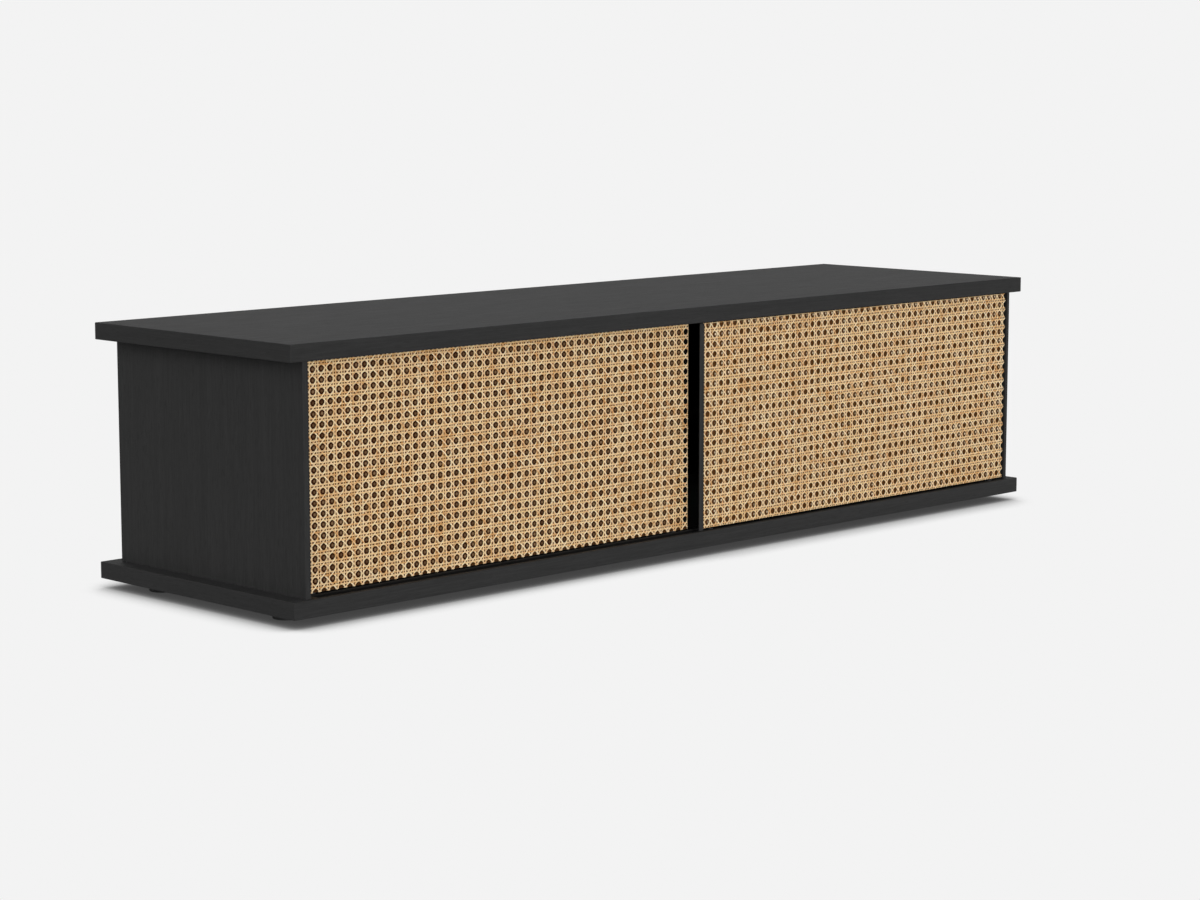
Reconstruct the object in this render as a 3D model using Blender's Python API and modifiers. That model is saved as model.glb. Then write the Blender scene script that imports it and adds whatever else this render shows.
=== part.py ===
"""Low media unit: two thick oak slabs, set-in side panels and two cane doors that slide past each other.

Metres, +Z up, the front faces -Y, and the origin is on the floor under the middle of the unit.
The left door hangs in the rear channel of the head track and the right door in the front channel.
"""

import math

import bmesh
import bpy
from mathutils import Matrix

# Gap between pieces that touch
FIT = 0.0003

# Slabs
WIDTH = 1.829
DEPTH = 0.508
SLAB = 0.028
SLAB_ROUND = 0.0012
CLEAR_HEIGHT = 0.369
BASE_LIP = 0.008
BASE_RECESS = 0.005

# Side panels, divider and back panels
OVERHANG = 0.028
FRONT_SETBACK = 0.007
BACK_SETBACK = 0.0215
PANEL = 0.020
LEFT_LIP = 0.0105
RIGHT_LIP = 0.0072
DIVIDER = 0.019
BACK = 0.006
BACK_REBATE = 0.009
TONGUE = 0.008
TONGUE_HEIGHT = 0.008
TONGUE_INSET = 0.050

# Feet
FOOT_HEIGHT = 0.016
FOOT_DIAMETER = 0.045
FOOT_CHAMFER = 0.002
FOOT_STEM_DIAMETER = 0.008
FOOT_STEM_LENGTH = 0.015
FOOT_END_INSET = 0.058
FOOT_EDGE_INSET = 0.092

# Shelves and their pins
SHELF = 0.018
SHELF_HEIGHT = 0.170
SHELF_FRONT_GAP = 0.100
SHELF_BACK_GAP = 0.004
SHELF_END_GAP = 0.001
PIN_DIAMETER = 0.005
PIN_CHAMFER = 0.0006
PIN_DEPTH = 0.008
PIN_REACH = 0.010
PIN_INSET = 0.060
PIN_PITCH = 0.032
PIN_ROWS = (-1, 0, 1)

# Cable outlets in the back panels
OUTLET_BORE = 0.050
OUTLET_WALL = 0.004
OUTLET_FLANGE = 0.005
OUTLET_FLANGE_THICKNESS = 0.002
OUTLET_HEIGHT = 0.110

# Doors
FRONT_DOOR_SETBACK = 0.010
DOOR_SPACING = 0.024
DOOR_THICKNESS = 0.0185
DOOR_CLEARANCE = 0.006
DOOR_END_GAP = 0.0015
DOOR_FLOOR_GAP = 0.0023
DOOR_TOP_GAP = 0.0025
MEETING_LINE = -0.0008
MEETING_LAP = 0.0004
MEMBER = 0.011
EDGE = 0.0055
TOP_EDGE = 0.002
MEETING_STILE = 0.0175
MEETING_EDGE = 0.012
TENON_SHOULDER = 0.001
PULL_PROUD = 0.003
PULL_FLOOR_GAP = 0.001
PULL_NOSE = 0.0006
PULL_UNDERCUT = 0.0215
PULL_BODY = 0.028
BOARD = 0.003
BOARD_SETBACK = 0.003

# Cane sheets: an open net of square gaps between bands of woven strands
CANE = 0.0018
CANE_GAP = 0.025
CANE_BAND = 0.0175

# Head track and the roller carriages that hang in it
TRACK_WALL = 0.002
TRACK_HEIGHT = 0.016
TRACK_SLOT = 0.008
TRACK_END_INSET = 0.006
WHEEL_DIAMETER = 0.010
WHEEL_WIDTH = 0.005
WHEEL_CHAMFER = 0.0008
AXLE_DIAMETER = 0.003
CARRIAGE_LENGTH = 0.030
CARRIAGE_WIDTH = 0.007
CARRIAGE_HEIGHT = 0.008
CARRIAGE_INSET = 0.060
HANGER_DIAMETER = 0.006
HANGER_SEAT = 0.0055

# Guide channels in the base and the pins that run in them
CHANNEL_WIDTH = 0.018
CHANNEL_DEPTH = 0.008
CHANNEL_WALL = 0.0015
GUIDE_DIAMETER = 0.012
GUIDE_CHAMFER = 0.0008
GUIDE_SEAT = 0.005
GUIDE_REACH = 0.005
GUIDE_INSET = 0.030

# Facets round a full turn
LARGE_FACETS = 24
SMALL_FACETS = 12
WHEEL_FACETS = 16

# Levels and faces that follow from the driving dimensions
BASE_TOP = FOOT_HEIGHT + SLAB
HEAD = BASE_TOP + CLEAR_HEIGHT
HEIGHT = HEAD + SLAB
FRONT = -DEPTH / 2
PANEL_OUTER = WIDTH / 2 - OVERHANG
PANEL_INNER = PANEL_OUTER - PANEL
PANEL_MIDDLE = PANEL_OUTER - PANEL / 2
PANEL_FRONT = FRONT + FRONT_SETBACK
PANEL_REAR = DEPTH / 2 - BACK_SETBACK
BACK_FRONT = PANEL_REAR - BACK
FRONT_DOOR_FACE = FRONT + FRONT_DOOR_SETBACK
REAR_DOOR_FACE = FRONT_DOOR_FACE + DOOR_SPACING
INTERIOR_FRONT = REAR_DOOR_FACE + DOOR_THICKNESS + DOOR_CLEARANCE
LEFT_END = LEFT_LIP + DOOR_END_GAP - PANEL_OUTER
RIGHT_END = PANEL_OUTER - RIGHT_LIP - DOOR_END_GAP
DOOR_LOW = BASE_TOP + DOOR_FLOOR_GAP
DOOR_HIGH = HEAD - DOOR_TOP_GAP
FRAME_OFFSET = CANE + FIT
FRAME_MIDDLE = (FRAME_OFFSET + DOOR_THICKNESS) / 2
RUN_HALF = PANEL_INNER - TRACK_END_INSET
CHANNEL_HALF = (DOOR_SPACING - TRACK_WALL) / 2
WHEEL_LEVEL = HEAD + TRACK_WALL + FIT + WHEEL_DIAMETER / 2
TONGUE_FRONT = INTERIOR_FRONT + TONGUE_INSET
TONGUE_REAR = BACK_FRONT - TONGUE_INSET
SHELF_FRONT = INTERIOR_FRONT + SHELF_FRONT_GAP
SHELF_REAR = BACK_FRONT - SHELF_BACK_GAP
SHELF_UNDERSIDE = BASE_TOP + SHELF_HEIGHT
PIN_LEVEL = SHELF_UNDERSIDE - FIT - PIN_DIAMETER / 2
PIN_PLACES = (SHELF_FRONT + PIN_INSET, SHELF_REAR - PIN_INSET)
FOOT_PLACES = {
    "left_front_foot": (FOOT_END_INSET - WIDTH / 2, FOOT_EDGE_INSET - DEPTH / 2),
    "left_rear_foot": (FOOT_END_INSET - WIDTH / 2, DEPTH / 2 - FOOT_EDGE_INSET),
    "right_front_foot": (WIDTH / 2 - FOOT_END_INSET, FOOT_EDGE_INSET - DEPTH / 2),
    "right_rear_foot": (WIDTH / 2 - FOOT_END_INSET, DEPTH / 2 - FOOT_EDGE_INSET),
    "centre_foot": (0.0, 0.0),
}
SIDES = {"left": -1, "right": 1}
LIPS = {"left": LEFT_LIP, "right": RIGHT_LIP}

# An outline drawn in X and Z or in Y and Z is stood up by one of these turns before it is extruded
ALONG_X = Matrix(((0, 0, 1, 0), (1, 0, 0, 0), (0, 1, 0, 0), (0, 0, 0, 1)))
ALONG_Y = Matrix(((1, 0, 0, 0), (0, 0, -1, 0), (0, 1, 0, 0), (0, 0, 0, 1)))
ALONG_Z = Matrix.Identity(4)

for old in list(bpy.data.objects):
    bpy.data.objects.remove(old, do_unlink=True)

PARTS = bpy.data.collections.new("low_media_unit")
CUTTERS = bpy.data.collections.new("cutters")
bpy.context.scene.collection.children.link(PARTS)
bpy.context.scene.collection.children.link(CUTTERS)


def make_finish(name, colour, roughness, metallic):
    """Return a Principled material."""
    material = bpy.data.materials.new(name)
    material.use_nodes = True
    shader = material.node_tree.nodes["Principled BSDF"]
    shader.inputs["Base Color"].default_value = (*colour, 1.0)
    shader.inputs["Roughness"].default_value = roughness
    shader.inputs["Metallic"].default_value = metallic
    return material


BLACK_OAK = make_finish("black_oak", (0.032, 0.031, 0.030), 0.55, 0.0)
WOVEN_CANE = make_finish("woven_cane", (0.55, 0.36, 0.18), 0.60, 0.0)
BROWN_BOARD = make_finish("brown_board", (0.20, 0.13, 0.07), 0.70, 0.0)
BLACK_PLASTIC = make_finish("black_plastic", (0.012, 0.012, 0.012), 0.50, 0.0)
BLACK_ALUMINIUM = make_finish("black_aluminium", (0.020, 0.020, 0.021), 0.40, 1.0)
GREY_NYLON = make_finish("grey_nylon", (0.45, 0.45, 0.44), 0.45, 0.0)
BRIGHT_STEEL = make_finish("bright_steel", (0.55, 0.55, 0.56), 0.30, 1.0)


def add_object(name, mesh, finish=None, matrix=ALONG_Z):
    """Link a mesh as a finished part or, with no finish, as a cutter."""
    piece = bpy.data.objects.new(name, mesh)
    piece.matrix_world = matrix
    if finish is None:
        piece.hide_render = True
        piece.display_type = "WIRE"
        CUTTERS.objects.link(piece)
    else:
        mesh.materials.append(finish)
        PARTS.objects.link(piece)
    return piece


def make_box(name, low, high, finish=None):
    """Return a box between two corners, with its origin at its middle."""
    size = [b - a for a, b in zip(low, high)]
    middle = [(a + b) / 2 for a, b in zip(low, high)]
    form = bmesh.new()
    bmesh.ops.create_cube(form, size=1.0, matrix=Matrix.Diagonal((*size, 1.0)))
    mesh = bpy.data.meshes.new(name)
    form.to_mesh(mesh)
    form.free()
    return add_object(name, mesh, finish, Matrix.Translation(middle))


def make_prism(name, outline, low, high, stand, finish=None, gaps=()):
    """Return an outline, less any gaps in it, extruded from low to high along its own normal."""
    curve = bpy.data.curves.new(name, "CURVE")
    curve.dimensions = "2D"
    curve.fill_mode = "BOTH"
    curve.extrude = (high - low) / 2
    for loop in (outline, *gaps):
        spline = curve.splines.new("POLY")
        spline.points.add(len(loop) - 1)
        for point, (u, v) in zip(spline.points, loop):
            point.co = (u, v, 0.0, 1.0)
        spline.use_cyclic_u = True
    sketch = bpy.data.objects.new(name, curve)
    CUTTERS.objects.link(sketch)
    mesh = bpy.data.meshes.new_from_object(sketch.evaluated_get(bpy.context.evaluated_depsgraph_get()))
    bpy.data.objects.remove(sketch, do_unlink=True)
    form = bmesh.new()
    form.from_mesh(mesh)
    bmesh.ops.remove_doubles(form, verts=form.verts, dist=1e-6)
    bmesh.ops.recalc_face_normals(form, faces=form.faces)
    form.to_mesh(mesh)
    form.free()
    mesh.name = name
    return add_object(name, mesh, finish, stand @ Matrix.Translation((0, 0, (low + high) / 2)))


def make_turned(name, profile, facets, matrix, finish, closed=False):
    """Return a profile of (radius, height) points, run down its outer side, turned about local Z."""
    mesh = bpy.data.meshes.new(name)
    points = [(radius, 0.0, height) for radius, height in profile]
    edges = [(i, i + 1) for i in range(len(points) - 1)]
    if closed:
        edges.append((len(points) - 1, 0))
    mesh.from_pydata(points, edges, [])
    piece = add_object(name, mesh, finish, matrix)
    screw = piece.modifiers.new("turn", "SCREW")
    screw.steps = facets
    screw.render_steps = facets
    screw.use_merge_vertices = True
    screw.merge_threshold = 1e-5
    screw.use_smooth_shade = True
    return piece


def make_peg(name, diameter, low, high, chamfer, facets, matrix, finish):
    """Return a turned peg from low to high along local Z, chamfered at both ends."""
    radius = diameter / 2
    profile = [
        (0.0, high),
        (radius - chamfer, high),
        (radius, high - chamfer),
        (radius, low + chamfer),
        (radius - chamfer, low),
        (0.0, low),
    ]
    return make_turned(name, profile, facets, matrix, finish)


def make_bores(name, places, diameter, length, turn, facets):
    """Return one cutter with a cylinder of this diameter and length centred on each place."""
    form = bmesh.new()
    for place in places:
        bmesh.ops.create_cone(
            form,
            cap_ends=True,
            segments=facets,
            radius1=diameter / 2,
            radius2=diameter / 2,
            depth=length,
            matrix=Matrix.Translation(place) @ turn,
        )
    mesh = bpy.data.meshes.new(name)
    form.to_mesh(mesh)
    form.free()
    return add_object(name, mesh)


def combine(piece, tool, operation):
    """Cut a piece with a tool, or join the tool to it."""
    boolean = piece.modifiers.new(tool.name, "BOOLEAN")
    boolean.operation = operation
    boolean.object = tool
    boolean.solver = "EXACT"


def round_edges(piece, width):
    """Round every edge of a box."""
    bevel = piece.modifiers.new("rounding", "BEVEL")
    bevel.width = width
    bevel.segments = 2


def rectangle(u0, v0, u1, v1):
    """Return a rectangle's four corners."""
    return [(u0, v0), (u1, v0), (u1, v1), (u0, v1)]


def hang(pieces, carrier):
    """Parent pieces to an empty without moving them."""
    for piece in pieces:
        piece.parent = carrier
        piece.matrix_parent_inverse = carrier.matrix_basis.inverted()


ABOUT_X = Matrix.Rotation(math.radians(90), 4, "Y")
ABOUT_Y = Matrix.Rotation(math.radians(-90), 4, "X")
TRACK_LINES = [face + FRAME_MIDDLE for face in (FRONT_DOOR_FACE, REAR_DOOR_FACE)]
TONGUE_LINES = {"left": -PANEL_MIDDLE, "centre": 0.0, "right": PANEL_MIDDLE}


def cut_tongue_slots(slab, level, depth_from, depth_to):
    """Cut a stopped slot in a slab for the tongue of each upright, at the face nearest to level."""
    for place, x in TONGUE_LINES.items():
        slot = make_box(
            f"{slab.name}_{place}_slot",
            (x - TONGUE / 2 - FIT, TONGUE_FRONT - FIT, level + depth_from),
            (x + TONGUE / 2 + FIT, TONGUE_REAR + FIT, level + depth_to),
        )
        combine(slab, slot, "DIFFERENCE")


def build_top_slab():
    """The top, with a pocket for the head track and a slot for each upright in its underside."""
    top = make_box("top_slab", (-WIDTH / 2, FRONT, HEAD), (WIDTH / 2, -FRONT, HEIGHT), BLACK_OAK)
    round_edges(top, SLAB_ROUND)
    reach = CHANNEL_HALF + TRACK_WALL + FIT
    pocket = make_box(
        "track_pocket",
        (-RUN_HALF - FIT, TRACK_LINES[0] - reach, HEAD - SLAB),
        (RUN_HALF + FIT, TRACK_LINES[1] + reach, HEAD + TRACK_HEIGHT + FIT),
    )
    combine(top, pocket, "DIFFERENCE")
    cut_tongue_slots(top, HEAD, -SLAB, TONGUE_HEIGHT + FIT)


def build_base_slab():
    """The base, with a recess before the doors, two channel grooves, slots for uprights and bores for feet."""
    base = make_box("base_slab", (-WIDTH / 2, FRONT, FOOT_HEIGHT), (WIDTH / 2, -FRONT, BASE_TOP), BLACK_OAK)
    round_edges(base, SLAB_ROUND)
    for place, y in zip(("front", "rear"), TRACK_LINES):
        half = CHANNEL_WIDTH / 2 + FIT
        groove = make_box(
            f"{place}_channel_groove",
            (-RUN_HALF - FIT, y - half, BASE_TOP - CHANNEL_DEPTH - FIT),
            (RUN_HALF + FIT, y + half, BASE_TOP + SLAB),
        )
        combine(base, groove, "DIFFERENCE")
    recess = make_box(
        "front_recess",
        (-RUN_HALF - FIT, FRONT + BASE_LIP, BASE_TOP - BASE_RECESS),
        (RUN_HALF + FIT, TRACK_LINES[0], BASE_TOP + SLAB),
    )
    combine(base, recess, "DIFFERENCE")
    cut_tongue_slots(base, BASE_TOP, -TONGUE_HEIGHT - FIT, SLAB)
    places = [(x, y, FOOT_HEIGHT) for x, y in FOOT_PLACES.values()]
    bore_length = 2 * (FOOT_STEM_LENGTH + FIT)
    bores = make_bores("foot_bores", places, FOOT_STEM_DIAMETER + 2 * FIT, bore_length, ALONG_Z, SMALL_FACETS)
    combine(base, bores, "DIFFERENCE")


def add_tongue(upright, x):
    """Give an upright its tongue, which stands out above and below it."""
    tongue = make_box(
        f"{upright.name}_tongue",
        (x - TONGUE / 2, TONGUE_FRONT, BASE_TOP - TONGUE_HEIGHT),
        (x + TONGUE / 2, TONGUE_REAR, HEAD + TONGUE_HEIGHT),
    )
    combine(upright, tongue, "UNION")


def bore_for_pins(upright, face, place):
    """Drill the rows of shelf pin holes into one face of an upright."""
    levels = [PIN_LEVEL + row * PIN_PITCH for row in PIN_ROWS]
    places = [(face, y, z) for y in PIN_PLACES for z in levels]
    length = 2 * (PIN_DEPTH + FIT)
    bores = make_bores(f"{place}_pin_bores", places, PIN_DIAMETER + 2 * FIT, length, ABOUT_X, SMALL_FACETS)
    combine(upright, bores, "DIFFERENCE")


def build_side_panel(side):
    """A side panel: rebated at its front for the door ends and at its back for the back panel."""
    sign = SIDES[side]
    rebate = PANEL_INNER + BACK_REBATE
    lip = PANEL_OUTER - LIPS[side]
    outline = [
        (PANEL_OUTER, PANEL_FRONT),
        (PANEL_OUTER, PANEL_REAR),
        (rebate, PANEL_REAR),
        (rebate, BACK_FRONT - FIT),
        (PANEL_INNER, BACK_FRONT - FIT),
        (PANEL_INNER, INTERIOR_FRONT),
        (lip, INTERIOR_FRONT),
        (lip, PANEL_FRONT),
    ]
    outline = [(sign * x, y) for x, y in outline]
    panel = make_prism(f"{side}_side_panel", outline, BASE_TOP + FIT, HEAD - FIT, ALONG_Z, BLACK_OAK)
    add_tongue(panel, sign * PANEL_MIDDLE)
    bore_for_pins(panel, sign * PANEL_INNER, f"{side}_panel")


def build_divider():
    """The upright in the middle, behind the doors."""
    low = (-DIVIDER / 2, INTERIOR_FRONT, BASE_TOP + FIT)
    high = (DIVIDER / 2, BACK_FRONT - FIT, HEAD - FIT)
    divider = make_box("centre_divider", low, high, BLACK_OAK)
    add_tongue(divider, 0.0)
    for side, sign in SIDES.items():
        bore_for_pins(divider, sign * DIVIDER / 2, f"divider_{side}")


def circle(u, v, radius, facets):
    """Return points round a circle."""
    turns = [2 * math.pi * i / facets for i in range(facets)]
    return [(u + radius * math.cos(turn), v + radius * math.sin(turn)) for turn in turns]


def build_back_panel(side):
    """A back panel with its cable outlet and the grommet that lines it."""
    sign = SIDES[side]
    outer = sign * (PANEL_INNER + BACK_REBATE - FIT)
    inner = sign * FIT
    x = sign * (PANEL_INNER + DIVIDER / 2) / 2
    z = BASE_TOP + OUTLET_HEIGHT
    bore = OUTLET_BORE / 2
    tube = bore + OUTLET_WALL
    hole = circle(x, z, tube + FIT, LARGE_FACETS)
    outline = rectangle(inner, BASE_TOP + FIT, outer, HEAD - FIT)
    make_prism(f"{side}_back_panel", outline, -PANEL_REAR, -BACK_FRONT, ALONG_Y, BLACK_OAK, [hole])
    flange = tube + OUTLET_FLANGE
    profile = [
        (bore, FIT + OUTLET_FLANGE_THICKNESS),
        (flange, FIT + OUTLET_FLANGE_THICKNESS),
        (flange, FIT),
        (tube, FIT),
        (tube, -BACK),
        (bore, -BACK),
    ]
    place = Matrix.Translation((x, PANEL_REAR, z)) @ ABOUT_Y
    make_turned(f"{side}_cable_grommet", profile, LARGE_FACETS, place, BLACK_PLASTIC, closed=True)


def build_shelf(side):
    """A loose shelf on four pins, two in the side panel and two in the divider."""
    sign = SIDES[side]
    ends = sorted((sign * (DIVIDER / 2 + SHELF_END_GAP), sign * (PANEL_INNER - SHELF_END_GAP)))
    low = (ends[0], SHELF_FRONT, SHELF_UNDERSIDE)
    high = (ends[1], SHELF_REAR, SHELF_UNDERSIDE + SHELF)
    make_box(f"{side}_shelf", low, high, BLACK_OAK)
    for end, face, inward in (("outer", PANEL_INNER, -1), ("inner", DIVIDER / 2, 1)):
        spans = sorted((-sign * inward * PIN_DEPTH, sign * inward * PIN_REACH))
        for place, y in zip(("front", "rear"), PIN_PLACES):
            matrix = Matrix.Translation((sign * face, y, PIN_LEVEL)) @ ABOUT_X
            name = f"{side}_shelf_pin_{end}_{place}"
            make_peg(name, PIN_DIAMETER, *spans, PIN_CHAMFER, SMALL_FACETS, matrix, BRIGHT_STEEL)


def build_feet():
    """Round glides, each on a stem that is set into the base."""
    radius = FOOT_DIAMETER / 2
    stem = FOOT_STEM_DIAMETER / 2
    pad_top = FOOT_HEIGHT - FIT
    profile = [
        (0.0, FOOT_HEIGHT + FOOT_STEM_LENGTH),
        (stem, FOOT_HEIGHT + FOOT_STEM_LENGTH),
        (stem, pad_top),
        (radius - FOOT_CHAMFER, pad_top),
        (radius, pad_top - FOOT_CHAMFER),
        (radius, FOOT_CHAMFER),
        (radius - FOOT_CHAMFER, 0.0),
        (0.0, 0.0),
    ]
    for name, (x, y) in FOOT_PLACES.items():
        make_turned(name, profile, LARGE_FACETS, Matrix.Translation((x, y, 0)), BLACK_PLASTIC)


def build_head_track():
    """The double channel in the top: its slots open downwards between pairs of running flanges."""
    edge = CHANNEL_HALF + TRACK_WALL
    flange = HEAD + TRACK_WALL
    ceiling = HEAD + TRACK_HEIGHT - TRACK_WALL
    slot = TRACK_SLOT / 2
    outline = [(TRACK_LINES[0] - edge, HEAD)]
    for y in TRACK_LINES:
        near = y - CHANNEL_HALF
        far = y + CHANNEL_HALF
        outline += [(y - slot, HEAD), (y - slot, flange), (near, flange), (near, ceiling)]
        outline += [(far, ceiling), (far, flange), (y + slot, flange), (y + slot, HEAD)]
    outline += [(TRACK_LINES[1] + edge, HEAD)]
    outline += [(TRACK_LINES[1] + edge, HEAD + TRACK_HEIGHT), (TRACK_LINES[0] - edge, HEAD + TRACK_HEIGHT)]
    make_prism("head_track", outline, -RUN_HALF, RUN_HALF, ALONG_X, BLACK_ALUMINIUM)


def build_guide_channels():
    """The two channels let into the base, flush with its top."""
    outer = CHANNEL_WIDTH / 2
    inner = outer - CHANNEL_WALL
    low = BASE_TOP - CHANNEL_DEPTH
    for place, y in zip(("front", "rear"), TRACK_LINES):
        outline = [(y - outer, low), (y + outer, low), (y + outer, BASE_TOP), (y + inner, BASE_TOP)]
        outline += [(y + inner, low + CHANNEL_WALL), (y - inner, low + CHANNEL_WALL)]
        outline += [(y - inner, BASE_TOP), (y - outer, BASE_TOP)]
        make_prism(f"{place}_guide_channel", outline, -RUN_HALF, RUN_HALF, ALONG_X, BLACK_ALUMINIUM)


def build_rails(door, x0, x1, face):
    """The bottom and top rails, rebated at the front so that the backing board lies against them."""
    front = face + FRAME_OFFSET
    rear = face + DOOR_THICKNESS
    seat = face + BOARD_SETBACK + BOARD + FIT
    rails = {}
    for place, outer, inward, edge in (("bottom", DOOR_LOW, 1, EDGE), ("top", DOOR_HIGH, -1, TOP_EDGE)):
        inner = outer + inward * MEMBER
        shoulder = outer + inward * edge
        outline = [(front, outer), (rear, outer), (rear, inner)]
        outline += [(seat, inner), (seat, shoulder), (front, shoulder)]
        rails[place] = make_prism(f"{door}_{place}_rail", outline, x0, x1, ALONG_X, BLACK_OAK)
    return rails


def build_stile(name, outer, width, edge, inward, face):
    """A stile between the rails, rebated for the board, with a tenon into each rail's rebate."""
    inner = outer + inward * width
    shoulder = outer + inward * edge
    front = face + FRAME_OFFSET
    rear = face + DOOR_THICKNESS
    seat = face + BOARD_SETBACK + BOARD + FIT
    outline = [(outer, front), (outer, rear), (inner, rear)]
    outline += [(inner, seat), (shoulder, seat), (shoulder, front)]
    low = DOOR_LOW + MEMBER + FIT
    high = DOOR_HIGH - MEMBER - FIT
    stile = make_prism(name, outline, low, high, ALONG_Z, BLACK_OAK)
    ends = sorted((outer + inward * TENON_SHOULDER, shoulder - inward * TENON_SHOULDER))
    tenon = make_box(
        f"{name}_tenon",
        (ends[0], face + BOARD_SETBACK, DOOR_LOW + EDGE + FIT),
        (ends[1], face + BOARD_SETBACK + BOARD, DOOR_HIGH - TOP_EDGE - FIT),
    )
    combine(stile, tenon, "UNION")
    return stile


def build_pull_stile(face):
    """The full-height stile at the right door's meeting end: it stands proud and is undercut for the fingers."""
    outer = MEETING_LINE
    nose = outer + MEMBER
    body = outer + PULL_BODY
    front = face - PULL_PROUD
    rear = face + DOOR_THICKNESS
    seat = face + BOARD_SETBACK + BOARD + FIT
    outline = [(outer, front), (outer, front + PULL_NOSE), (outer + PULL_UNDERCUT, rear), (body, rear)]
    outline += [(body, seat), (nose, seat), (nose, front)]
    low = BASE_TOP + PULL_FLOOR_GAP
    return make_prism("right_door_pull_stile", outline, low, DOOR_HIGH, ALONG_Z, BLACK_OAK)


def build_cane(door, x0, x1, face):
    """The cane sheet laid over the frame: an open net whose rows and columns fill the sheet evenly."""
    pitch = CANE_GAP + CANE_BAND
    across = int((x1 - x0 - CANE_BAND) / pitch)
    up = int((DOOR_HIGH - DOOR_LOW - CANE_BAND) / pitch)
    half = CANE_GAP / 2
    gaps = []
    for i in range(across):
        x = x0 + (x1 - x0) * (i + 0.5) / across
        for j in range(up):
            z = DOOR_LOW + (DOOR_HIGH - DOOR_LOW) * (j + 0.5) / up
            gaps.append(rectangle(x - half, z - half, x + half, z + half))
    outline = rectangle(x0, DOOR_LOW, x1, DOOR_HIGH)
    return make_prism(f"{door}_cane", outline, -face - CANE, -face, ALONG_Y, WOVEN_CANE, gaps)


def build_board(door, x0, x1, face):
    """The backing board, which lies in the rebate round the inside of the frame."""
    low = (x0 + FIT, face + BOARD_SETBACK, DOOR_LOW + EDGE + FIT)
    high = (x1 - FIT, face + BOARD_SETBACK + BOARD, DOOR_HIGH - TOP_EDGE - FIT)
    return make_box(f"{door}_backing_board", low, high, BROWN_BOARD)


def build_carriage(name, x, y, top_rail):
    """A hanger in the head track: a block on an axle with two wheels, and a stem into the top rail."""
    low = (x - CARRIAGE_LENGTH / 2, y - CARRIAGE_WIDTH / 2, WHEEL_LEVEL - CARRIAGE_HEIGHT / 2)
    high = (x + CARRIAGE_LENGTH / 2, y + CARRIAGE_WIDTH / 2, WHEEL_LEVEL + CARRIAGE_HEIGHT / 2)
    carriage = make_box(f"{name}_carriage", low, high, BRIGHT_STEEL)
    stem_low = DOOR_HIGH - HANGER_SEAT
    middle = (x, y, (stem_low + WHEEL_LEVEL) / 2)
    length = WHEEL_LEVEL - stem_low
    stem = make_bores(f"{name}_stem", [middle], HANGER_DIAMETER, length, ALONG_Z, SMALL_FACETS)
    combine(carriage, stem, "UNION")
    axle_hole = AXLE_DIAMETER + 2 * FIT
    centre = (x, y, WHEEL_LEVEL)
    bore = make_bores(f"{name}_axle_bore", [centre], axle_hole, 2 * CARRIAGE_WIDTH, ABOUT_Y, SMALL_FACETS)
    combine(carriage, bore, "DIFFERENCE")
    seat_length = 2 * (HANGER_SEAT + FIT)
    seat_width = HANGER_DIAMETER + 2 * FIT
    seat = make_bores(f"{name}_seat", [(x, y, DOOR_HIGH)], seat_width, seat_length, ALONG_Z, SMALL_FACETS)
    combine(top_rail, seat, "DIFFERENCE")
    line = Matrix.Translation(centre) @ ABOUT_Y
    half = CARRIAGE_WIDTH / 2 + FIT + WHEEL_WIDTH
    axle = make_peg(f"{name}_axle", AXLE_DIAMETER, -half, half, FIT, SMALL_FACETS, line, BRIGHT_STEEL)
    return [carriage, axle]


def build_wheels(name, x, y):
    """The pair of wheels on one carriage, each with its origin on the axle's line."""
    rim = WHEEL_DIAMETER / 2
    bore = AXLE_DIAMETER / 2 + FIT
    half = WHEEL_WIDTH / 2
    profile = [
        (bore, half),
        (rim - WHEEL_CHAMFER, half),
        (rim, half - WHEEL_CHAMFER),
        (rim, WHEEL_CHAMFER - half),
        (rim - WHEEL_CHAMFER, -half),
        (bore, -half),
    ]
    offset = CARRIAGE_WIDTH / 2 + FIT + half
    wheels = []
    for place, shift in (("front", -offset), ("rear", offset)):
        matrix = Matrix.Translation((x, y + shift, WHEEL_LEVEL)) @ ABOUT_Y
        wheel = make_turned(f"{name}_{place}_wheel", profile, WHEEL_FACETS, matrix, GREY_NYLON, closed=True)
        wheels.append(wheel)
    return wheels


def build_guide_pin(name, x, y, bottom_rail):
    """A pin in the bottom rail that runs in the guide channel."""
    high = DOOR_LOW + GUIDE_SEAT - FIT
    low = BASE_TOP - GUIDE_REACH
    place = Matrix.Translation((x, y, 0))
    bore_width = GUIDE_DIAMETER + 2 * FIT
    seat = make_bores(f"{name}_seat", [(x, y, DOOR_LOW)], bore_width, 2 * GUIDE_SEAT, ALONG_Z, SMALL_FACETS)
    combine(bottom_rail, seat, "DIFFERENCE")
    return make_peg(name, GUIDE_DIAMETER, low, high, GUIDE_CHAMFER, SMALL_FACETS, place, BLACK_PLASTIC)


def build_running_gear(door, x0, x1, face, rails):
    """Two roller carriages over a door and two guide pins under it."""
    y = face + FRAME_MIDDLE
    pieces = []
    for place, x in (("left", x0 + CARRIAGE_INSET), ("right", x1 - CARRIAGE_INSET)):
        pieces += build_carriage(f"{door}_{place}", x, y, rails["top"])
        pieces += build_wheels(f"{door}_{place}", x, y)
    for place, x in (("left", x0 + GUIDE_INSET), ("right", x1 - GUIDE_INSET)):
        pieces.append(build_guide_pin(f"{door}_{place}_guide_pin", x, y, rails["bottom"]))
    return pieces


def add_carrier(name, x, y):
    """Return an empty on a door's line of travel."""
    carrier = bpy.data.objects.new(name, None)
    carrier.matrix_basis = Matrix.Translation((x, y, WHEEL_LEVEL))
    PARTS.objects.link(carrier)
    return carrier


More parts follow.
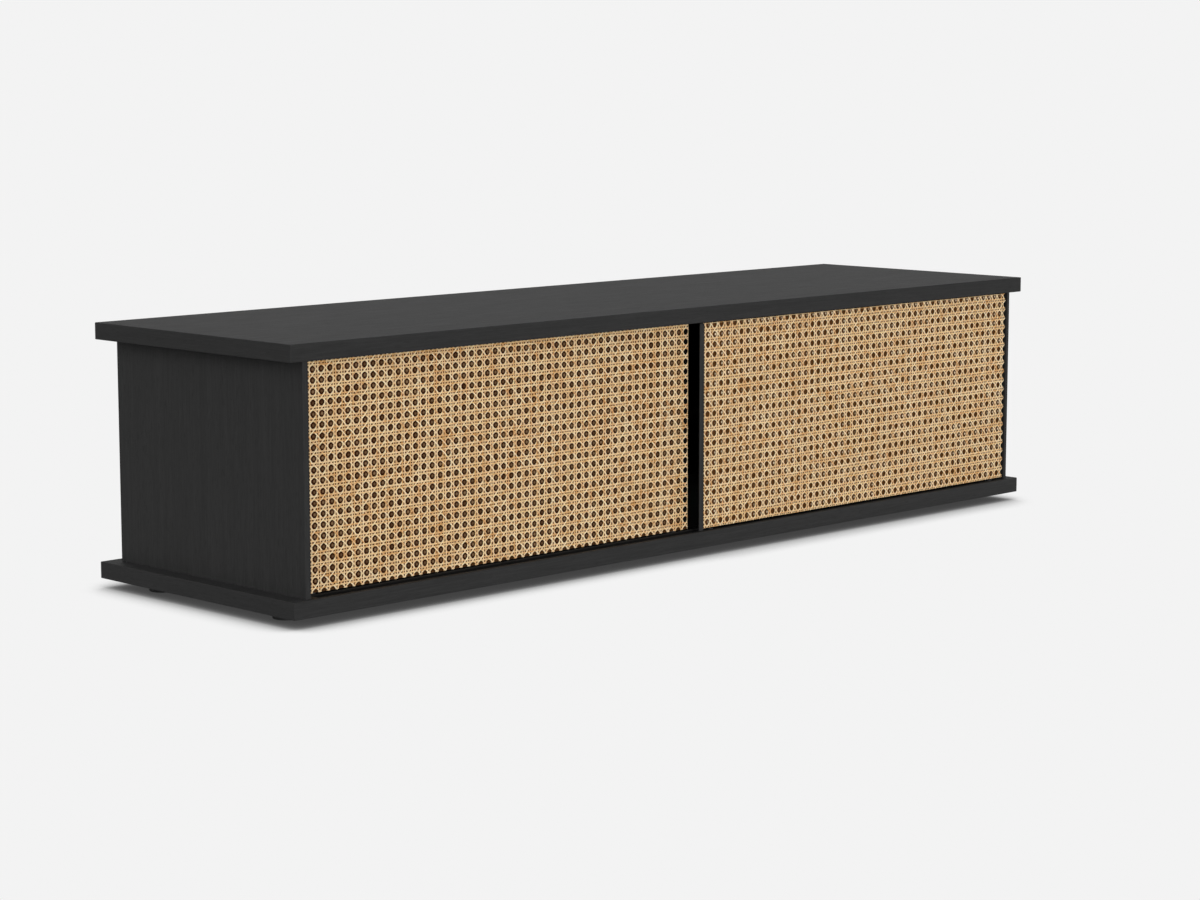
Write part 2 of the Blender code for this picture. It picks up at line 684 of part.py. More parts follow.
def build_left_door():
    """The rear door: two stiles between its rails, the wider one where the doors meet."""
    door = "left_door"
    face = REAR_DOOR_FACE
    x0 = LEFT_END
    x1 = MEETING_LINE + MEETING_LAP
    rails = build_rails(door, x0, x1, face)
    pieces = list(rails.values())
    pieces.append(build_stile("left_door_outer_stile", x0, MEMBER, EDGE, 1, face))
    pieces.append(build_stile("left_door_meeting_stile", x1, MEETING_STILE, MEETING_EDGE, -1, face))
    pieces.append(build_cane(door, x0, x1, face))
    pieces.append(build_board(door, x0 + EDGE, x1 - MEETING_EDGE, face))
    pieces += build_running_gear(door, x0, x1, face, rails)
    hang(pieces, add_carrier("left_door_carrier", (x0 + x1) / 2, face + FRAME_MIDDLE))


def build_right_door():
    """The front door: a stile at its outer end and the proud pull stile where the doors meet."""
    door = "right_door"
    face = FRONT_DOOR_FACE
    x0 = MEETING_LINE + MEMBER
    x1 = RIGHT_END
    rails = build_rails(door, MEETING_LINE + PULL_BODY + FIT, x1, face)
    pieces = list(rails.values())
    pieces.append(build_pull_stile(face))
    pieces.append(build_stile("right_door_outer_stile", x1, MEMBER, EDGE, -1, face))
    pieces.append(build_cane(door, x0 + FIT, x1, face))
    pieces.append(build_board(door, x0, x1 - EDGE, face))
    pieces += build_running_gear(door, x0, x1, face, rails)
    hang(pieces, add_carrier("right_door_carrier", (x0 + x1) / 2, face + FRAME_MIDDLE))


def main():
    """Build the carcass, then the doors and their running gear."""
    build_top_slab()
    build_base_slab()
    build_divider()
    for side in SIDES:
        build_side_panel(side)
        build_back_panel(side)
        build_shelf(side)
    build_feet()
    build_head_track()
    build_guide_channels()
    build_left_door()
    build_right_door()


main()
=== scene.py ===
"""Looks of a low media unit: black stained oak, woven cane doors and the hidden running gear.

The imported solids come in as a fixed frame, in metres, +Z up, with the front facing -Y. The cane sheets and
the turned pieces are replaced by finer surfaces, and every other solid keeps its shape and gets a procedural
finish.
"""

from __future__ import annotations

import functools
import logging
import math
from dataclasses import dataclass, replace
from enum import Enum

import bpy
import numpy as np
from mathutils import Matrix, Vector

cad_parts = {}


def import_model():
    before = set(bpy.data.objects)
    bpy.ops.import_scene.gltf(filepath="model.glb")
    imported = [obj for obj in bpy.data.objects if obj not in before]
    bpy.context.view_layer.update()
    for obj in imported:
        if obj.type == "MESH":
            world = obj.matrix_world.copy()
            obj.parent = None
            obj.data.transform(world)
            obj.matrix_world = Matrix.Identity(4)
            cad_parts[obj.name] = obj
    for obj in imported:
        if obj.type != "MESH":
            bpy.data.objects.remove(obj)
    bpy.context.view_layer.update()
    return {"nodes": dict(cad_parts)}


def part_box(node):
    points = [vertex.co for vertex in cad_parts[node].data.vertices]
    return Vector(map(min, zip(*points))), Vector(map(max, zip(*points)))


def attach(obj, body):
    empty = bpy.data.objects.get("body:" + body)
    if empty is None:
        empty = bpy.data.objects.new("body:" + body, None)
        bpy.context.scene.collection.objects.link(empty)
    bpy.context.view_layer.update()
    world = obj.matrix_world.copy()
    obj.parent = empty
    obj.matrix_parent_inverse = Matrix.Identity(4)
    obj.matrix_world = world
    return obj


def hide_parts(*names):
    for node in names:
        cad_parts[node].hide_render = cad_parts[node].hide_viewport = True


LOG = logging.getLogger("media_unit")
MM = 0.001
SEED = 4187
# From one hole of the cane to the next, along X and Z.
HOLE_PITCH = 17.44 * MM
# The range of a share, and the span in which most of a noise's values lie.
UNIT = (0.0, 1.0)
NOISE_SPAN = (0.3, 0.7)
# Numbers of a Mix node's inputs: its factor, its first value and its second.
MIX_COLOURS = (0, 6, 7)
MIX_VECTORS = (0, 4, 5)
# A face whose normal lies this far along X is the end of a slab.
END_FACING = 0.7
# Sides of a turned piece, and the turn of an edge beyond which it stays sharp.
TURNED_SIDES = 64
SHARP_DEGREES = 40.0
# The rounding of a corner stops just short of the middles of its sides.
NEAR_MIDDLE = 0.49
# Stations of a strand that are closer than this lie on top of each other.
LEAST_STEP = 1e-7

Colour = tuple[float, float, float]
Scale = tuple[float, float, float]
Span = tuple[float, float]
Profile = list[tuple[float, float]]
Socket = bpy.types.NodeSocket


class GrainRun(Enum):
    """The way that the grain of an oak piece runs, as the order of X, Y and Z that puts it first."""

    LENGTHWISE = "XYZ"
    UPRIGHT = "ZXY"


class Axis(Enum):
    """The axis that a piece is turned about, as the order in which its three measures go to X, Y and Z."""

    X = (2, 0, 1)
    Y = (1, 2, 0)
    Z = (0, 1, 2)


class NodeSketch:
    """A shader node tree that is being drawn."""

    def __init__(self, tree: bpy.types.NodeTree) -> None:
        """Keep the tree that the nodes go into."""
        self.tree = tree

    def add(self, kind: str, **settings: object) -> bpy.types.Node:
        """Add a node and set its properties.

        Args:
            kind: The node's type, without its prefix.
            settings: Properties of the node, by name.

        Returns:
            The new node.
        """
        node = self.tree.nodes.new(kind if kind.startswith("NodeGroup") else f"ShaderNode{kind}")
        for name, value in settings.items():
            setattr(node, name, value)
        return node

    def feed(self, socket: Socket, value: object) -> None:
        """Link another socket into this one, or set a plain value on it.

        Args:
            socket: The input that is fed.
            value: An output socket, a number, or a tuple of numbers.
        """
        if isinstance(value, bpy.types.NodeSocket):
            self.tree.links.new(value, socket)
        else:
            socket.default_value = value

    def outputs_of(self, kind: str, *values: object, **settings: object) -> bpy.types.NodeOutputs:
        """Add a node and feed its inputs in their order.

        Args:
            kind: The node's type, without its prefix.
            values: What its first inputs are fed.
            settings: Properties of the node, by name.

        Returns:
            The node's outputs.
        """
        node = self.add(kind, **settings)
        for socket, value in zip(node.inputs, values):
            self.feed(socket, value)
        return node.outputs

    def feed_named(self, node: bpy.types.Node, **values: object) -> bpy.types.NodeOutputs:
        """Feed a node's inputs by name, with spaces as underscores, and return its outputs."""
        for name, value in values.items():
            self.feed(node.inputs[name.replace("_", " ")], value)
        return node.outputs

    def math(self, operation: str, first: object, second: object = 0.0) -> Socket:
        """Return the result of a Math node on two numbers."""
        return self.outputs_of("Math", first, second, operation=operation)[0]

    def stretch(self, vector: Socket, factors: Scale) -> Socket:
        """Return a vector with each of its measures multiplied by a factor."""
        return self.outputs_of("VectorMath", vector, factors, operation="MULTIPLY")[0]

    def split(self, vector: Socket) -> bpy.types.NodeOutputs:
        """Return the measures X, Y and Z of a vector, by letter."""
        return self.outputs_of("SeparateXYZ", vector)

    def join(self, *measures: object) -> Socket:
        """Return the vector of three measures."""
        return self.outputs_of("CombineXYZ", *measures)[0]

    def noise(self, vector: Socket, detail: float, roughness: float = 0.5, distortion: float = 0.0) -> Socket:
        """Return the value of a noise of unit scale.

        Args:
            vector: Where the noise is read, already stretched to its scale.
            detail: Number of octaves.
            roughness: Share of each finer octave.
            distortion: How far the noise is bent by itself.

        Returns:
            The noise's value, about 0.5 on average.
        """
        shape = {"Detail": detail, "Roughness": roughness, "Distortion": distortion}
        return self.feed_named(self.add("TexNoise"), Vector=vector, Scale=1.0, **shape)["Fac"]

    def spread(
        self, value: Socket, low: float, high: float, to_low: float = 0.0, to_high: float = 1.0
    ) -> Socket:
        """Return a value mapped from one range to another and kept inside it.

        Args:
            value: The value that is mapped.
            low: The value that becomes to_low.
            high: The value that becomes to_high.
            to_low: Start of the new range.
            to_high: End of the new range.

        Returns:
            The mapped value.
        """
        return self.outputs_of("MapRange", value, low, high, to_low, to_high, clamp=True)[0]

    def blend(self, factor: Socket, first: object, second: object) -> Socket:
        """Return a colour between two others.

        Args:
            factor: Share of the second colour.
            first: A colour or a colour socket.
            second: A colour or a colour socket.

        Returns:
            The mixed colour.
        """
        node = self.add("Mix", data_type="RGBA")
        for number, value in zip(MIX_COLOURS, (factor, first, second)):
            self.feed(node.inputs[number], (*value, 1.0) if isinstance(value, tuple) else value)
        return node.outputs[2]

    def coat(
        self, shader: bpy.types.Node, colour: Socket, roughness: Socket, height: Socket, relief: Span
    ) -> None:
        """Feed a shader its colour and roughness, and raise its surface by a height.

        Args:
            shader: The Principled shader.
            colour: Its base colour.
            roughness: Its roughness.
            height: The height, about 0 to 1.
            relief: Share of the height's effect, and the height in metres that 1 stands for.
        """
        strength, distance = relief
        raised = self.feed_named(self.add("Bump"), Strength=strength, Distance=distance, Height=height)
        self.feed_named(shader, Base_Color=colour, Roughness=roughness, Normal=raised["Normal"])

    def group(self, tree: bpy.types.NodeTree, **values: object) -> bpy.types.NodeOutputs:
        """Place a node group, feed its inputs by name and return its outputs."""
        return self.feed_named(self.add("Group", node_tree=tree), **values)


def new_group(
    name: str, inputs: dict[str, str], outputs: tuple[str, ...]
) -> tuple[NodeSketch, bpy.types.NodeOutputs, bpy.types.NodeInputs]:
    """Start a node group.

    Args:
        name: The group's name.
        inputs: Kind of each input socket, Vector or Float, by name.
        outputs: Names of the output values.

    Returns:
        The group's sketch, the sockets that its inputs arrive on and the sockets that its outputs leave by.
    """
    tree = bpy.data.node_groups.new(name, "ShaderNodeTree")
    for label, kind in inputs.items():
        tree.interface.new_socket(name=label, in_out="INPUT", socket_type=f"NodeSocket{kind}")
    for label in outputs:
        tree.interface.new_socket(name=label, in_out="OUTPUT", socket_type="NodeSocketFloat")
    sketch = NodeSketch(tree)
    arrive = sketch.add("NodeGroupInput").outputs
    leave = sketch.add("NodeGroupOutput").inputs
    return sketch, arrive, leave


@functools.cache
def oak_grain_group() -> bpy.types.NodeTree:
    """Oak grain along a vector's first measure: broad bands, fine fibres and short open pores.

    Each is a noise that is stretched along the grain. Height is fibres less pores.

    Returns:
        The group, with outputs Bands, Fibres, Pores and Height.
    """
    names = ("Bands", "Fibres", "Pores", "Height")
    sketch, arrive, leave = new_group("oak_grain", {"Vector": "Vector"}, names)
    band_scale, fibre_scale, pore_scale = (1.6, 60.0, 60.0), (12.0, 420.0, 420.0), (52.0, 760.0, 760.0)
    pore_span = (0.55, 0.66)
    along = arrive["Vector"]
    bands = sketch.noise(sketch.stretch(along, band_scale), detail=3.0, roughness=0.55, distortion=0.3)
    fibres = sketch.noise(sketch.stretch(along, fibre_scale), detail=3.0, roughness=0.6)
    pores = sketch.spread(sketch.noise(sketch.stretch(along, pore_scale), detail=2.0), *pore_span)
    sketch.feed(leave["Bands"], sketch.spread(bands, *NOISE_SPAN))
    sketch.feed(leave["Fibres"], sketch.spread(fibres, *NOISE_SPAN))
    sketch.feed(leave["Pores"], pores)
    sketch.feed(leave["Height"], sketch.math("SUBTRACT", fibres, pores))
    return sketch.tree


@functools.cache
def pale_edge_group() -> bpy.types.NodeTree:
    """Paler edges, as wear on the plastic and as wear with a painted highlight on the oak: how far the
    surface's rounded normal turns away from its true one, broken up by a noise.

    Returns:
        The group, with the output Edge.
    """
    turn_span, patch_span, patch_scale = (0.02, 0.25), (0.35, 0.65), (60.0, 60.0, 60.0)
    inputs = {"Vector": "Vector", "Radius": "Float"}
    sketch, arrive, leave = new_group("pale_edges", inputs, ("Edge",))
    rounded = sketch.outputs_of("Bevel", arrive["Radius"], samples=4)["Normal"]
    plain = sketch.add("NewGeometry").outputs["True Normal"]
    meeting = sketch.outputs_of("VectorMath", rounded, plain, operation="DOT_PRODUCT")["Value"]
    turned = sketch.math("SUBTRACT", 1.0, meeting)
    patches = sketch.noise(sketch.stretch(arrive["Vector"], patch_scale), detail=3.0)
    pale_edge = sketch.math("MULTIPLY", sketch.spread(turned, *turn_span), sketch.spread(patches, *patch_span))
    sketch.feed(leave["Edge"], pale_edge)
    return sketch.tree


@functools.cache
def handling_group() -> bpy.types.NodeTree:
    """Cloudy marks of handling and dust: a coarse noise with a fine one over it.

    Returns:
        The group, with outputs Clouds and Grit.
    """
    grit_scale = (2400.0, 2400.0, 2400.0)
    sketch, arrive, leave = new_group("handling", {"Vector": "Vector", "Size": "Float"}, ("Clouds", "Grit"))
    scaling = sketch.add("VectorMath", operation="SCALE")
    scaled = sketch.feed_named(scaling, Vector=arrive["Vector"], Scale=arrive["Size"])[0]
    clouds = sketch.noise(scaled, detail=4.0)
    grit = sketch.noise(sketch.stretch(arrive["Vector"], grit_scale), detail=1.0)
    sketch.feed(leave["Clouds"], sketch.spread(clouds, *NOISE_SPAN))
    sketch.feed(leave["Grit"], grit)
    return sketch.tree


@functools.cache
def hole_place_group() -> bpy.types.NodeTree:
    """Place among holes on a square grid in X and Z: how far the nearest one is, and its own chance number.

    The place is divided by the pitch. What rounding takes off gives the distance, and the two rounded numbers
    give the chance.

    Returns:
        The group, with outputs Distance and Chance.
    """
    inputs = {"Vector": "Vector", "Middle": "Vector", "Pitch": "Float"}
    sketch, arrive, leave = new_group("hole_place", inputs, ("Distance", "Chance"))
    away = sketch.outputs_of("VectorMath", arrive["Vector"], arrive["Middle"], operation="SUBTRACT")[0]
    parts = sketch.split(away)
    wholes, squares = [], []
    for letter in "XZ":
        turns = sketch.math("DIVIDE", parts[letter], arrive["Pitch"])
        wholes.append(sketch.math("ROUND", turns))
        rest = sketch.math("ABSOLUTE", sketch.math("SUBTRACT", turns, wholes[-1]))
        squares.append(sketch.math("POWER", rest, 2.0))
    distance = sketch.math("MULTIPLY", sketch.math("SQRT", sketch.math("ADD", *squares)), arrive["Pitch"])
    chance = sketch.outputs_of("TexWhiteNoise", sketch.join(wholes[0], 0.0, wholes[1]))["Value"]
    sketch.feed(leave["Distance"], distance)
    sketch.feed(leave["Chance"], chance)
    return sketch.tree


@dataclass(frozen=True)
class Finish:
    """What every finish has: a name, a roughness range, and the constant strength of its highlights.

    Each kind of finish adds its colours, its scales in repeats to a metre, the spans and shares that mix
    them, and its relief.
    """

    name: str
    roughness: Span
    specular: float = 0.5

    def material(self) -> bpy.types.Material:
        """Return the material of this finish, made the first time that it is asked for."""
        found = bpy.data.materials.get(self.name)
        if found is not None:
            return found
        made = bpy.data.materials.new(self.name)
        made.use_nodes = True
        shader = made.node_tree.nodes["Principled BSDF"]
        shader.inputs["Specular IOR Level"].default_value = self.specular
        self.draw(NodeSketch(made.node_tree), shader)
        return made

    def draw(self, sketch: NodeSketch, shader: bpy.types.Node) -> None:
        """Draw the nodes that feed the shader."""
        raise NotImplementedError


@dataclass(frozen=True)
class OakFinish(Finish):
    """Black stained oak with open pores: the stain lies a little thinner on the bands, and the edges are
    paler as wear and as a painted highlight.
    """

    run: GrainRun = GrainRun.LENGTHWISE
    dark: Colour = (0.0167, 0.0167, 0.0167)
    light: Colour = (0.0297, 0.0297, 0.0297)
    # Colour of the paler edges: wear, and a painted highlight along the arrises.
    pale_edge: Colour = (0.055, 0.054, 0.053)
    band_share: float = 0.25
    pore_share: float = 0.7
    pale_edge_share: float = 0.5
    edge_radius: float = 0.9 * MM
    relief: Span = (0.25, 0.25 * MM)

    def along_grain(self, sketch: NodeSketch) -> Socket:
        """Return Object coordinates with the grain's direction first, and front to back on the slab ends."""
        place = sketch.add("TexCoord").outputs
        parts = sketch.split(place["Object"])
        along = sketch.join(*(parts[letter] for letter in self.run.value))
        if self.run is GrainRun.UPRIGHT:
            return along
        ends = sketch.join(*(parts[letter] for letter in "YXZ"))
        facing = sketch.math("ABSOLUTE", sketch.split(place["Normal"])["X"])
        is_end = sketch.math("GREATER_THAN", facing, END_FACING)
        choice = sketch.add("Mix", data_type="VECTOR")
        for number, value in zip(MIX_VECTORS, (is_end, along, ends)):
            sketch.feed(choice.inputs[number], value)
        return choice.outputs[1]

    def draw(self, sketch: NodeSketch, shader: bpy.types.Node) -> None:
        """Draw bands, fibres and pores into colour, roughness and bump."""
        along = self.along_grain(sketch)
        grain = sketch.group(oak_grain_group(), Vector=along)
        edge = sketch.group(pale_edge_group(), Vector=along, Radius=self.edge_radius)["Edge"]
        broad = sketch.math("MULTIPLY", grain["Bands"], self.band_share)
        fine = sketch.math("MULTIPLY", grain["Fibres"], 1.0 - self.band_share)
        stain = sketch.blend(sketch.math("ADD", broad, fine), self.dark, self.light)
        pored = sketch.blend(sketch.math("MULTIPLY", grain["Pores"], self.pore_share), stain, self.dark)
        # Edges paler: partly wear, partly a painted highlight.
        colour = sketch.blend(sketch.math("MULTIPLY", edge, self.pale_edge_share), pored, self.pale_edge)
        rough = sketch.spread(grain["Fibres"], *UNIT, *self.roughness)
        sketch.coat(shader, colour, rough, grain["Height"], self.relief)


@dataclass(frozen=True)
class CaneFinish(Finish):
    """Natural cane: each strand has its own tone, fibres along it and redder stretches; its edges darken,
    partly as the cane's own colour and partly as painted shade.
    """

    pale: Colour = (1.0, 0.87, 0.61)
    deep: Colour = (0.84, 0.57, 0.28)
    scorched: Colour = (0.66, 0.31, 0.085)
    # Colour at the strands' edges: partly the cane's own browning, partly painted shade.
    edge: Colour = (0.32, 0.125, 0.025)
    fibre_scale: Scale = (110.0, 22.0, 1.0)
    stretch_scale: Scale = (26.0, 0.0, 1.0)
    tones_apart: float = 90.0
    tone_share: float = 0.6
    shade_span: Span = (0.22, 0.82)
    red_span: Span = (0.47, 0.64)
    red_share: float = 0.85
    edge_brown_and_shade_span: Span = (0.05, 0.45)
    edge_brown_and_shade_share: float = 0.75
    relief: Span = (0.3, 0.2 * MM)

    def draw(self, sketch: NodeSketch, shader: bpy.types.Node) -> None:
        """Draw tone, fibres and stretches along the strands' own map into colour, roughness and bump.

        The map's X runs along a strand in metres, and its Y once round it, with the strand's edges at 0 and
        0.5. The tone moves each strand to a place of its own in the noises.
        """
        tone = sketch.add("Attribute", attribute_name="tone").outputs["Fac"]
        strand = sketch.split(sketch.add("UVMap", uv_map="strand").outputs["UV"])
        place = sketch.join(strand["X"], strand["Y"], sketch.math("MULTIPLY", tone, self.tones_apart))
        fibres = sketch.noise(sketch.stretch(place, self.fibre_scale), detail=3.0, roughness=0.6)
        stretches = sketch.noise(sketch.stretch(place, self.stretch_scale), detail=2.0)
        angle = sketch.math("MULTIPLY", strand["Y"], 2 * math.pi)
        ridge = sketch.math("ABSOLUTE", sketch.math("SINE", angle))
        shade = sketch.math("MULTIPLY", sketch.math("ADD", tone, fibres), self.tone_share)
        natural = sketch.blend(sketch.spread(shade, *self.shade_span), self.pale, self.deep)
        redder = sketch.spread(stretches, *self.red_span, 0.0, self.red_share)
        grown = sketch.blend(redder, natural, self.scorched)
        # Partly painted shade: the colour darkens towards each strand's edges.
        edge_brown_and_shade = sketch.spread(ridge, *self.edge_brown_and_shade_span, self.edge_brown_and_shade_share, 0.0)
        colour = sketch.blend(edge_brown_and_shade, grown, self.edge)
        rough = sketch.spread(fibres, *NOISE_SPAN, *self.roughness)
        sketch.coat(shader, colour, rough, fibres, self.relief)


@dataclass(frozen=True)
class BoardFinish(Finish):
    """Brown fibre board behind a sheet with holes, with painted light and shade in each hole: a painted pool
    of light with a painted shadow round it, and flecks.

    The painted pools of light lie right of and below the holes' middles, as they show from the front left.
    Each is stronger or weaker by chance.
    """

    # How far the painted pools of light lie right of and below the holes' middles.
    light_pool_shift: float = 2.6 * MM
    light_pool_drop: float = 0.4 * MM
    chance: Span = (0.4, 1.2)
    light_pool_reach: Span = (0.4 * MM, 3.6 * MM)
    # Colour of the painted light at a pool's middle.
    pale: Colour = (0.24, 0.143, 0.078)
    # Colour of the painted shade round each pool.
    dark: Colour = (0.028, 0.0065, 0.0010)
    # The board's own colour, and the distances from a hole's middle over which the painted shade gives way to
    # it.
    brown: Colour = (0.13, 0.045, 0.008)
    ring: Span = (5.8 * MM, 7.2 * MM)
    hole: Span = (0.0, 0.0)
    pitch: float = HOLE_PITCH
    cloud_size: float = 45.0
    fleck_scale: Scale = (420.0, 420.0, 260.0)
    fleck_part: Span = (0.35, 0.75)
    relief: Span = (0.2, 0.15 * MM)

    def draw(self, sketch: NodeSketch, shader: bpy.types.Node) -> None:
        """Draw painted pools of light, painted shadow rings, flecks and clouds into colour, roughness and
        bump.
        """
        place = sketch.add("TexCoord").outputs["Object"]
        middle = (self.hole[0] + self.light_pool_shift, 0.0, self.hole[1] - self.light_pool_drop)
        hole = sketch.group(hole_place_group(), Vector=place, Middle=middle, Pitch=self.pitch)
        clouds = sketch.group(handling_group(), Vector=place, Size=self.cloud_size)["Clouds"]
        flecks = sketch.noise(sketch.stretch(place, self.fleck_scale), detail=2.0)
        uneven = sketch.math("ADD", sketch.spread(flecks, *NOISE_SPAN, *self.fleck_part), clouds)
        strength = sketch.math("MULTIPLY", uneven, sketch.spread(hole["Chance"], *UNIT, *self.chance))
        # Painted light: full at each pool's middle, gone at the end of its reach, over the painted shade.
        share = sketch.math("MULTIPLY", sketch.spread(hole["Distance"], *self.light_pool_reach, 1.0, 0.0), strength)
        behind = sketch.blend(share, self.dark, self.pale)
        # Within the ring the painted light and shade; beyond it the board's own colour.
        colour = sketch.blend(sketch.spread(hole["Distance"], *self.ring), behind, self.brown)
        rough = sketch.spread(flecks, *NOISE_SPAN, *self.roughness)
        sketch.coat(shader, colour, rough, flecks, self.relief)


@dataclass(frozen=True)
class MouldedFinish(Finish):
    """Moulded plastic: an even colour with a fine stipple, rubbed paler on its edges."""

    body: Colour = (0.012, 0.012, 0.012)
    rubbed: Colour = (0.030, 0.030, 0.030)
    cloud_size: float = 60.0
    cloud_share: float = 0.25
    edge_radius: float = 0.6 * MM
    relief: Span = (0.15, 0.05 * MM)

    def draw(self, sketch: NodeSketch, shader: bpy.types.Node) -> None:
        """Draw stipple and rubbing into colour, roughness and bump."""
        place = sketch.add("TexCoord").outputs["Object"]
        marks = sketch.group(handling_group(), Vector=place, Size=self.cloud_size)
        edge = sketch.group(pale_edge_group(), Vector=place, Radius=self.edge_radius)["Edge"]
        paler = sketch.math("MAXIMUM", sketch.math("MULTIPLY", marks["Clouds"], self.cloud_share), edge)
        colour = sketch.blend(paler, self.body, self.rubbed)
        rough = sketch.spread(marks["Clouds"], *UNIT, *self.roughness)
        sketch.coat(shader, colour, rough, marks["Grit"], self.relief)


@dataclass(frozen=True)
class MetalFinish(Finish):
    """Drawn metal, bare or under a coat: faint lines along X from the die, and clouds of handling."""

    body: Colour = (0.55, 0.55, 0.56)
    dull: Colour = (0.40, 0.40, 0.41)
    metallic: float = 1.0
    cloud_size: float = 45.0
    line_scale: Scale = (8.0, 2600.0, 2600.0)
    line_span: Span = (0.2, 0.8)
    relief: Span = (0.1, 0.03 * MM)

    def draw(self, sketch: NodeSketch, shader: bpy.types.Node) -> None:
        """Draw die lines and handling into colour, roughness and bump."""
        shader.inputs["Metallic"].default_value = self.metallic
        place = sketch.add("TexCoord").outputs["Object"]
        clouds = sketch.group(handling_group(), Vector=place, Size=self.cloud_size)["Clouds"]
        lines = sketch.noise(sketch.stretch(place, self.line_scale), detail=2.0)
        share = sketch.math("MULTIPLY", sketch.math("ADD", lines, clouds), 0.5)
        colour = sketch.blend(share, self.body, self.dull)
        rough = sketch.spread(share, *self.line_span, *self.roughness)
        sketch.coat(shader, colour, rough, lines, self.relief)


OAK = {run: OakFinish(f"black_oak_{run.name.lower()}", (0.58, 0.74), 0.085, run) for run in GrainRun}
CANE = CaneFinish("natural_cane", (0.42, 0.62), 0.2)
# Painted shade: the door frames are dead black, far darker than the oak, so the holes and gaps over them read
# as shadowed void.
FRAME_PAINTED_SHADE = {
    run: OakFinish(
        f"door_frame_painted_shade_{run.name.lower()}", (0.8, 0.9), 0.02, run, (0.003,) * 3, (0.006,) * 3, (0.009,) * 3
    )
    for run in GrainRun
}
LINING = OakFinish("door_lining", (0.8, 0.9), 0.02, dark=(0.040, 0.017, 0.006), light=(0.070, 0.031, 0.011))
# Boards behind the cane, with painted light and shade in the holes.
LEFT_BOARD = BoardFinish("left_door_fibre_board_painted_light", (0.65, 0.85), 0.03)
RIGHT_BOARD = BoardFinish(
    "right_door_fibre_board_painted_light",
    (0.65, 0.85),
    0.03,
    light_pool_shift=4.6 * MM,
    chance=(-0.6, 1.0),
    light_pool_reach=(0.6 * MM, 2.8 * MM),
    # Painted highlights: paler, rarer pools of light further right in the right door's holes, over lighter
    # painted shade.
    pale=(0.90, 0.74, 0.54),
    dark=(0.080, 0.032, 0.010),
)
PLASTIC = MouldedFinish("black_moulding", (0.42, 0.58), 0.4)
NYLON = MouldedFinish("grey_nylon_moulding", (0.38, 0.50), 0.4, (0.42, 0.42, 0.41), (0.56, 0.56, 0.55))
ALUMINIUM = MetalFinish("black_anodised", (0.66, 0.80), 0.05, (0.006,) * 3, (0.011,) * 3, metallic=0.0)
STEEL = MetalFinish("drawn_steel", (0.24, 0.40), 0.5)


def add_object(name: str, data: bpy.types.ID) -> bpy.types.Object:
    """Return a new object of the scene for a mesh, a lamp or a camera."""
    made = bpy.data.objects.new(name, data)
    bpy.context.scene.collection.objects.link(made)
    return made


def add_piece(name: str, mesh: bpy.types.Mesh, finish: Finish, body: str, node: str) -> None:
    """Link a finished mesh to the scene as a piece of the unit.

    Args:
        name: The piece's name.
        mesh: Its mesh, already in place.
        finish: The finish that it is dressed in.
        body: The body that it moves with.
        node: The solid that it stands for.
    """
    mesh.materials.append(finish.material())
    piece = add_object(name, mesh)
    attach(piece, body)
    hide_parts(node)
    LOG.info("%s: %d faces on %s, for %s", name, len(mesh.polygons), body, node)


def smooth_mesh(
    name: str, points: np.ndarray, faces: list[list[int]], sharp_degrees: float | None = None
) -> bpy.types.Mesh:
    """Return a smooth shaded mesh of points and faces.

    Args:
        name: The mesh's name.
        points: Array of shape (n, 3).
        faces: Lists of point numbers.
        sharp_degrees: Edges that turn more than this stay sharp.

    Returns:
        The mesh.
    """
    mesh = bpy.data.meshes.new(name)
    mesh.from_pydata(points.tolist(), [], faces)
    mesh.shade_smooth()
    if sharp_degrees is not None:
        mesh.set_sharp_from_angle(angle=math.radians(sharp_degrees))
    return mesh


